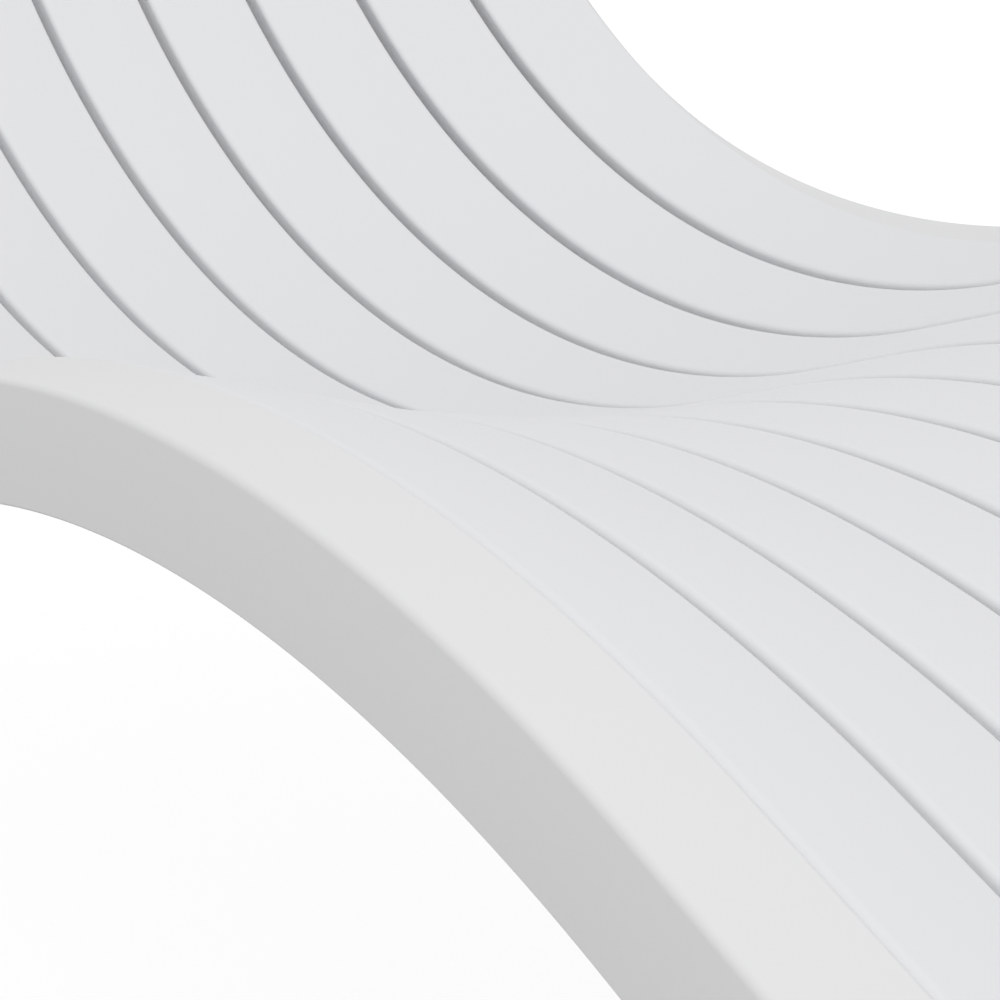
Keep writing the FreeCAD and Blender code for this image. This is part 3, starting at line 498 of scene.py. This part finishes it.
# %% Cross bearers
BEARER_TOP, BEARER_DEPTH, BEARER_HALF, BEARER_WALL = 20.52 * MM, 25 * MM, 20 * MM, 4 * MM
BEARER_END, BEARER_SLICES, BEARER_ROUND, BEARER_HOLLOW = 307.74 * MM, 81, 1.5 * MM, 2 * MM
TAPER, TAPER_FROM, TAPER_TO = 0.34, 150 * MM, 230 * MM
PLATE_INSET, PLATE_GAP = 1 * MM, 0.1 * MM
LUG_RADIUS, LUG_OUT, LUG_CHAMFER = 6 * MM, 6 * MM, 1 * MM


def bearer_slices(station, outline, y):
    """Outline points (along, depth) at each y: the depth shrinks near the ends, then bends."""
    shrink = 1 - TAPER * smooth_step(np.abs(y), TAPER_FROM, TAPER_TO)
    depth = BEARER_TOP + shrink[:, None] * outline[None, :, 1]
    above = dish_height(DISH_RADIUS + depth, y[:, None])
    return on_wave(station + outline[None, :, 0] + 0 * above, y[:, None] + 0 * above, above)


def bearer(label, station):
    """The channel from end to end, an end plate at each side, and a lug as a stack of circles."""
    wide, inner, deep, foot = BEARER_HALF, BEARER_HALF - BEARER_WALL, BEARER_DEPTH, 1 * MM
    bar = rounded([
        (-wide, 0.0, BEARER_ROUND), (wide, 0.0, BEARER_ROUND), (wide, deep, foot),
        (inner, deep, foot), (inner, BEARER_WALL, BEARER_HOLLOW),
        (-inner, BEARER_WALL, BEARER_HOLLOW), (-inner, deep, foot), (-wide, deep, foot)])
    half, low = wide - PLATE_INSET, deep - PLATE_INSET
    plate = rounded([(-half, PLATE_INSET, foot), (half, PLATE_INSET, foot),
                     (half, low, foot), (-half, low, foot)], steps=3)
    skins = [skin(bearer_slices(station, bar, np.linspace(-BEARER_END, BEARER_END, BEARER_SLICES)))]
    level = dish_height(DISH_RADIUS + BEARER_TOP + BEARER_DEPTH / 2, BEARER_END)
    reach = BEARER_END + np.array([0.0, LUG_OUT - LUG_CHAMFER, LUG_OUT])[:, None]
    radius = np.array([LUG_RADIUS, LUG_RADIUS, LUG_RADIUS - LUG_CHAMFER])[:, None]
    for side in (-1, 1):
        plate_y = side * (BEARER_END - np.array([PLATE_GAP, BEARER_WALL]))
        skins.append(skin(bearer_slices(station, plate, plate_y)))
        skins.append(skin(on_wave(station + radius * np.cos(CIRCLE), side * reach + 0 * CIRCLE,
                                  level + radius * np.sin(CIRCLE))))
    return piece("bearer_skin_" + label, skins, "bearer_" + label)


bearers = [bearer(label, station) for label, station in BEARER_STATIONS.items()]
print("bearers", len(bearers), "faces each", len(bearers[0].data.polygons))

# %% [markdown]
# ## The leg's side outline
# Each leg is a raked, tapering moulding.  Seen from the side it has four edges: two straight
# sides, the floor, and a top that follows the arch under the rail.  It could be cut from a
# block with a Boolean, but that leaves long thin faces.  So the outline is a function of an
# inset, and a rounded edge or a wall is only another inset.

# %% Leg outline
LegPlace = namedtuple("LegPlace", "centre radius top_x rake")
LEG_TOP, LEG_FOOT, GLIDE_HEIGHT = 110 * MM, 58 * MM, 8 * MM
CORNER_ROUNDS, SIDE_POINTS = 8, 12
seat_axis = SEAT_LOW + np.array([0.0, SEAT_RADIUS])
foot_axis = (wave(WAVE_LENGTH - FOOT_RUN)[0]
             + FOOT_RADIUS * np.array([np.sin(FOOT_TURN), np.cos(FOOT_TURN)]))
LEGS = {
    "rear": LegPlace(seat_axis, SEAT_RADIUS - BOTTOM_Q, SEAT_LOW[0] - 320 * MM, -46 * MM),
    "front": LegPlace(foot_axis, FOOT_RADIUS - BOTTOM_Q, foot_axis[0] - 60 * MM, 20 * MM),
}


def arch_height(place, x, inset=0.0):
    """Height of the arch under the rail: the lower half of a circle about the arch's centre."""
    return place.centre[1] - np.sqrt((place.radius + inset) ** 2 - (x - place.centre[0]) ** 2)


def leg_ring(place, inset, lift):
    """Side outline drawn in by an inset: floor edge, right side, arched top, left side.

    A side is a straight line from the foot's corner to the top's.  Where it meets the arch is
    found by going from one to the other a few times, which closes in on the crossing.
    """
    def side(z, way):
        top_x = place.top_x + way * LEG_TOP / 2
        foot_x = place.top_x + place.rake + way * LEG_FOOT / 2
        share = (z - GLIDE_HEIGHT) / (arch_height(place, top_x) - GLIDE_HEIGHT)
        return foot_x + (top_x - foot_x) * share - way * inset

    def corner(way):
        x = place.top_x + way * LEG_TOP / 2
        for _ in range(CORNER_ROUNDS):
            x = side(arch_height(place, x, inset), way)
        return x

    low, right, left = GLIDE_HEIGHT + inset + lift, corner(1), corner(-1)
    right_top, left_top = arch_height(place, right, inset), arch_height(place, left, inset)
    share = np.linspace(0.0, 1.0, SIDE_POINTS + 1)[:-1]
    right_z = low + (right_top - low) * share
    left_z = left_top + (low - left_top) * share
    floor_x = side(low, -1) + (side(low, 1) - side(low, -1)) * share
    arch_x = right + (left - right) * share
    x = np.concatenate([floor_x, side(right_z, 1), arch_x, side(left_z, -1)])
    z = np.concatenate([np.full(SIDE_POINTS, low), right_z, arch_height(place, arch_x, inset), left_z])
    return x, z


print("leg outline points", len(leg_ring(LEGS["rear"], 0.0, 0.0)[0]))

# %% [markdown]
# ## The legs
# A leg is open on its inner side with two ribs across, as such legs are so that the mould can
# draw them.  A Solidify modifier would give the wall but not the closed foot.  Rings of the
# side outline stack up across the leg instead: round over the outer edge, over the inner rim,
# and down into the recess.  Each rib is a thin rounded bar.

# %% Legs
LEG_WALL, LEG_ROUND, LEG_STEPS, LEG_LIFT = 5 * MM, 2.5 * MM, 6, 14 * MM
RIM_ROUND, RECESS_DRAFT, RECESS_ROUND = 0.8 * MM, 0.5 * MM, 2 * MM
LEG_RIB, RIB_ROUND, RIB_INSET, RIBS = 3.5 * MM, 0.5 * MM, 0.6 * MM, 2
SIDES = ((-1, "right"), (1, "left"))


def leg_rib(place, side, share):
    """A bar across the recess, at a share of the way from foot to top, as wide as the leg there."""
    high = arch_height(place, place.top_x)
    level = GLIDE_HEIGHT + (high - GLIDE_HEIGHT) * share
    middle = place.top_x + place.rake * (1 - share)
    half = (LEG_FOOT + (LEG_TOP - LEG_FOOT) * share) / 2 - LEG_WALL / 2
    outline = rounded([(-half, 0.0, RIB_ROUND), (half, 0.0, RIB_ROUND),
                       (half, LEG_RIB, RIB_ROUND), (-half, LEG_RIB, RIB_ROUND)], steps=3)
    y = side * np.array([INNER_Y + RIB_INSET, OUTER_Y - LEG_WALL / 2])[:, None]
    bar = np.broadcast_arrays(middle + outline[None, :, 0], y, level + outline[None, :, 1])
    return skin(np.stack(bar, axis=-1))


def leg(position, side, label):
    """Rings across the leg, each an inset, a place in Y and a lift of its floor edge."""
    place = LEGS[position]
    quarter = np.linspace(0.0, np.pi / 2, LEG_STEPS)
    soft, swell = LEG_ROUND * (1 - np.sin(quarter)), LEG_ROUND * (1 - np.cos(quarter))
    rows = [(inset, OUTER_Y - drop, 0.0) for inset, drop in zip(soft, swell)]
    rows += [(inset, INNER_Y + drop, 0.0) for inset, drop in zip(soft[::-1], swell[::-1])]
    rows += [(LEG_WALL - RIM_ROUND, INNER_Y, LEG_LIFT),
             (LEG_WALL, INNER_Y + RIM_ROUND, LEG_LIFT),
             (LEG_WALL + RECESS_DRAFT, OUTER_Y - LEG_WALL - RECESS_ROUND, LEG_LIFT),
             (LEG_WALL + RECESS_DRAFT + RECESS_ROUND, OUTER_Y - LEG_WALL, LEG_LIFT)]
    rings = []
    for inset, y, lift in rows:
        x, z = leg_ring(place, inset, lift)
        rings.append(np.stack([x, np.full_like(x, side * y), z], axis=-1))
    skins = [skin(rings)]
    skins += [leg_rib(place, side, step / (RIBS + 1)) for step in range(1, RIBS + 1)]
    name = "%s_%s" % (position, label)
    return piece("leg_skin_" + name, skins, "leg_" + name)


legs = [leg(position, side, label) for position in LEGS for side, label in SIDES]
print("legs", len(legs), "faces each", len(legs[0].data.polygons))

# %% [markdown]
# ## The glides
# A glide is a soft pad with rounded corners under the foot, which keeps the leg off the
# terrace.  A bevelled cube would look much the same.  Five rounded rectangles, drawn in at the
# floor and at the leg, give its two edges their own small radii with very few faces.

# %% Glides
GLIDE_CORNER = 5 * MM
GLIDE_INSETS = np.array([1.5, 0.5, 0.0, 0.0, 0.4]) * MM
GLIDE_LEVELS = np.array([0.0, 0.4, 1.5, 7.6, 8.0]) * MM


def glide(position, side, label):
    """Rounded rectangles stacked upwards, drawn in at the floor and at the leg."""
    place = LEGS[position]
    middle_x, middle_y = place.top_x + place.rake, side * (INNER_Y + OUTER_Y) / 2
    rings = []
    for inset, level in zip(GLIDE_INSETS, GLIDE_LEVELS):
        a, b = LEG_FOOT / 2 - inset, (OUTER_Y - INNER_Y) / 2 - inset
        outline = rounded([(-a, -b, GLIDE_CORNER), (a, -b, GLIDE_CORNER),
                           (a, b, GLIDE_CORNER), (-a, b, GLIDE_CORNER)])
        x, y = middle_x + outline[:, 0], middle_y + outline[:, 1]
        rings.append(np.stack([x, y, np.full_like(x, level)], axis=-1))
    name = "%s_%s" % (position, label)
    return piece("glide_skin_" + name, [skin(rings)], "glide_" + name)


glides = [glide(position, side, label) for position in LEGS for side, label in SIDES]
print("glides", len(glides), "faces each", len(glides[0].data.polygons))

# %% [markdown]
# ## The moulded skin
# White outdoor resin comes out of the mould satin.  Close to, its skin has a fine even grain
# from the sparked mould, and the sheen wanders a little where the resin cooled.  Each material
# could have its own noise nodes, but the effects are shared by all the mouldings, so they sit
# in one node group with its own inputs; the Principled shader stays in each material.

# %% Moulded skin group
FLOW_SCALE, FLOW_DETAIL, GRAIN_DETAIL = 5.0, 2.0, 3.0
FLOW_LOW, FLOW_HIGH = 0.35, 0.65


def link(tree, source, target):
    """One wire between two sockets."""
    tree.links.new(source, target)


def moulded_skin():
    """Fine noise gives the grain; broad noise moves colour and gloss between two near values."""
    group = bpy.data.node_groups.new("moulded_skin", "ShaderNodeTree")
    for name, kind in (("Light Tone", "NodeSocketColor"), ("Deep Tone", "NodeSocketColor"),
                       ("Grain Scale", "NodeSocketFloat"), ("Gloss Low", "NodeSocketFloat"),
                       ("Gloss High", "NodeSocketFloat")):
        group.interface.new_socket(name, in_out="INPUT", socket_type=kind)
    for name, kind in (("Color", "NodeSocketColor"), ("Roughness", "NodeSocketFloat"),
                       ("Grain", "NodeSocketFloat")):
        group.interface.new_socket(name, in_out="OUTPUT", socket_type=kind)
    inlet = group.nodes.new("NodeGroupInput")
    outlet = group.nodes.new("NodeGroupOutput")
    where = group.nodes.new("ShaderNodeTexCoord")
    grain = group.nodes.new("ShaderNodeTexNoise")
    grain.inputs["Detail"].default_value = GRAIN_DETAIL
    flow = group.nodes.new("ShaderNodeTexNoise")
    flow.inputs["Scale"].default_value = FLOW_SCALE
    flow.inputs["Detail"].default_value = FLOW_DETAIL
    tone = group.nodes.new("ShaderNodeMix")
    tone.data_type = "RGBA"
    gloss = group.nodes.new("ShaderNodeMapRange")
    gloss.inputs["From Min"].default_value = FLOW_LOW
    gloss.inputs["From Max"].default_value = FLOW_HIGH
    link(group, where.outputs["Object"], grain.inputs["Vector"])
    link(group, where.outputs["Object"], flow.inputs["Vector"])
    link(group, inlet.outputs["Grain Scale"], grain.inputs["Scale"])
    link(group, flow.outputs["Fac"], tone.inputs["Factor"])
    link(group, inlet.outputs["Light Tone"], tone.inputs["A"])
    link(group, inlet.outputs["Deep Tone"], tone.inputs["B"])
    link(group, flow.outputs["Fac"], gloss.inputs["Value"])
    link(group, inlet.outputs["Gloss Low"], gloss.inputs["To Min"])
    link(group, inlet.outputs["Gloss High"], gloss.inputs["To Max"])
    link(group, tone.outputs["Result"], outlet.inputs["Color"])
    link(group, gloss.outputs["Result"], outlet.inputs["Roughness"])
    link(group, grain.outputs["Fac"], outlet.inputs["Grain"])
    return group


skin_group = moulded_skin()
print("group", skin_group.name, "nodes", len(skin_group.nodes))

# %% [markdown]
# ## The resins and the rubber
# In the photograph the slats are a touch cooler and lighter than the frame, so the frame has its
# own copy of the white resin, a touch darker and more neutral.  The bearers underneath are
# plainer, and the glides are grey rubber.  All four could share one material with a colour
# attribute, but with one material each, every finish can be changed by itself.  Values that are
# the same all over sit on the shader.

# %% Materials
RESIN_IOR, RESIN_MIRROR, GRAIN_STRENGTH = 1.5, 0.2, 0.6


def moulding(name, light, deep, grain_scale, gloss, depth):
    """One material: the shared skin, with its own tones, grain and gloss, under a shader."""
    material = bpy.data.materials.new(name)
    material.use_nodes = True
    tree = material.node_tree
    shader = tree.nodes["Principled BSDF"]
    skin_node = tree.nodes.new("ShaderNodeGroup")
    skin_node.node_tree = skin_group
    skin_node.inputs["Light Tone"].default_value = (*light, 1.0)
    skin_node.inputs["Deep Tone"].default_value = (*deep, 1.0)
    skin_node.inputs["Grain Scale"].default_value = grain_scale
    skin_node.inputs["Gloss Low"].default_value = gloss[0]
    skin_node.inputs["Gloss High"].default_value = gloss[1]
    bump = tree.nodes.new("ShaderNodeBump")
    bump.inputs["Distance"].default_value = depth
    bump.inputs["Strength"].default_value = GRAIN_STRENGTH
    link(tree, skin_node.outputs["Grain"], bump.inputs["Height"])
    link(tree, skin_node.outputs["Color"], shader.inputs["Base Color"])
    link(tree, skin_node.outputs["Roughness"], shader.inputs["Roughness"])
    link(tree, bump.outputs["Normal"], shader.inputs["Normal"])
    shader.inputs["IOR"].default_value = RESIN_IOR
    shader.inputs["Specular IOR Level"].default_value = RESIN_MIRROR
    return material


def finish(items, material):
    """Give every item this one material."""
    for item in items:
        item.data.materials.clear()
        item.data.materials.append(material)


white_resin = moulding("white_resin", light=(0.796, 0.802, 0.810), deep=(0.791, 0.797, 0.815),
                       grain_scale=1800.0, gloss=(0.60, 0.70), depth=0.00004)
frame_resin = moulding("frame_resin", light=(0.780, 0.783, 0.787), deep=(0.776, 0.779, 0.785),
                       grain_scale=1800.0, gloss=(0.60, 0.70), depth=0.00004)
bearer_resin = moulding("bearer_resin", light=(0.74, 0.745, 0.75), deep=(0.72, 0.725, 0.73),
                        grain_scale=1500.0, gloss=(0.5, 0.6), depth=0.00005)
glide_rubber = moulding("glide_rubber", light=(0.32, 0.325, 0.33), deep=(0.27, 0.275, 0.28),
                        grain_scale=1200.0, gloss=(0.7, 0.8), depth=0.00008)
finish(nodes.values(), white_resin)
finish(slats, white_resin)
finish(rails + ends + legs, frame_resin)
finish(bearers, bearer_resin)
finish(glides, glide_rubber)
print("finished", len(slats + rails + ends + legs + bearers + glides), "skins")

# %% [markdown]
# ## The floor
# The photograph has a white ground.  A floor could be lit until it is white, but then the
# lounger would be too bright.  So the floor is a pale sheet that shows the camera nearly white:
# most of that light is its own, and the rest keeps the shadow under the lounger as a faint
# tone.  For every other ray it is a plain grey floor, so little light comes up between the
# slats and the gaps stay dark.

# %% Floor
FLOOR_HALF = 14.0
FLOOR_TONE, FLOOR_ROUGHNESS = 0.57, 0.9
FLOOR_GLOW, FLOOR_SHADE = 0.91, 0.15


def white_rays(tree):
    """A mask of the rays that see white: the largest of camera, glossy and transmission."""
    rays = tree.nodes.new("ShaderNodeLightPath")
    glossy = tree.nodes.new("ShaderNodeMath")
    glossy.operation = "MAXIMUM"
    seen = tree.nodes.new("ShaderNodeMath")
    seen.operation = "MAXIMUM"
    link(tree, rays.outputs["Is Glossy Ray"], glossy.inputs[0])
    link(tree, rays.outputs["Is Transmission Ray"], glossy.inputs[1])
    link(tree, rays.outputs["Is Camera Ray"], seen.inputs[0])
    link(tree, glossy.outputs["Value"], seen.inputs[1])
    return seen.outputs["Value"]


def floor_finish():
    """White rays see a glow plus a little diffuse light; all other rays see a grey floor."""
    material = bpy.data.materials.new("pale_floor")
    material.use_nodes = True
    tree = material.node_tree
    shader = tree.nodes["Principled BSDF"]
    shader.inputs["Base Color"].default_value = (FLOOR_TONE, FLOOR_TONE, FLOOR_TONE, 1.0)
    shader.inputs["Roughness"].default_value = FLOOR_ROUGHNESS
    shader.inputs["Specular IOR Level"].default_value = 0.0
    glow = tree.nodes.new("ShaderNodeEmission")
    glow.inputs["Strength"].default_value = FLOOR_GLOW
    shade = tree.nodes.new("ShaderNodeBsdfDiffuse")
    shade.inputs["Color"].default_value = (FLOOR_SHADE, FLOOR_SHADE, FLOOR_SHADE, 1.0)
    both = tree.nodes.new("ShaderNodeAddShader")
    mix = tree.nodes.new("ShaderNodeMixShader")
    link(tree, glow.outputs["Emission"], both.inputs[0])
    link(tree, shade.outputs["BSDF"], both.inputs[1])
    link(tree, white_rays(tree), mix.inputs["Fac"])
    link(tree, shader.outputs["BSDF"], mix.inputs[1])
    link(tree, both.outputs["Shader"], mix.inputs[2])
    link(tree, mix.outputs["Shader"], tree.nodes["Material Output"].inputs["Surface"])
    return material


def pale_floor():
    """A level square of four corners."""
    corners = np.array([[-1, -1, 0], [1, -1, 0], [1, 1, 0], [-1, 1, 0]]) * FLOOR_HALF
    mesh = bpy.data.meshes.new("floor")
    mesh.from_pydata(corners.tolist(), [], [[0, 1, 2, 3]])
    mesh.materials.append(floor_finish())
    floor = bpy.data.objects.new("floor", mesh)
    scene.collection.objects.link(floor)
    return floor


floor = pale_floor()
print("floor", floor.name)

# %% [markdown]
# ## The light
# The light in the photograph is soft and comes from all round, with a little more from the
# near side and from the foot: the back and the slats' near edges are the brightest.  A picture
# of a studio could light the scene, but a plain white world and three large square lamps do the
# same and are easy to change.  The lamps themselves stay out of the picture.

# %% Light
WHITE = (1.0, 1.0, 1.0, 1.0)


def studio_world(level):
    """A white world: camera, glossy and transmission rays see full white, the rest a lower level."""
    world = bpy.data.worlds.new("studio")
    scene.world = world
    world.use_nodes = True
    tree = world.node_tree
    lit = tree.nodes["Background"]
    lit.inputs["Color"].default_value = WHITE
    lit.inputs["Strength"].default_value = level
    white = tree.nodes.new("ShaderNodeBackground")
    white.inputs["Color"].default_value = WHITE
    white.inputs["Strength"].default_value = 1.0
    mix = tree.nodes.new("ShaderNodeMixShader")
    link(tree, white_rays(tree), mix.inputs["Fac"])
    link(tree, lit.outputs["Background"], mix.inputs[1])
    link(tree, white.outputs["Background"], mix.inputs[2])
    link(tree, mix.outputs["Shader"], tree.nodes["World Output"].inputs["Surface"])
    return world


def soft_box(name, place, target, width, power):
    """A square lamp at a place, turned so that its face looks at the target."""
    data = bpy.data.lights.new(name, "AREA")
    data.shape = "SQUARE"
    data.size = width
    data.energy = power
    lamp = bpy.data.objects.new(name, data)
    scene.collection.objects.link(lamp)
    lamp.location = place
    aim = Vector(target) - Vector(place)
    lamp.rotation_euler = aim.to_track_quat("-Z", "Y").to_euler()
    lamp.visible_camera = False
    return lamp


world = studio_world(level=0.77)
lamps = [
    soft_box("overhead", place=(0.5, 0.5, 3.2), target=(0.1, 0.0, 0.3), width=3.0, power=5.5),
    soft_box("near_side", place=(1.7, -2.1, 2.8), target=(0.2, 0.0, 0.3), width=2.0, power=18.5),
    soft_box("foot_end", place=(8.0, -1.0, 2.5), target=(-0.3, 0.0, 0.5), width=4.0, power=63.0),
]
print("world", world.name, "lamps", len(lamps))
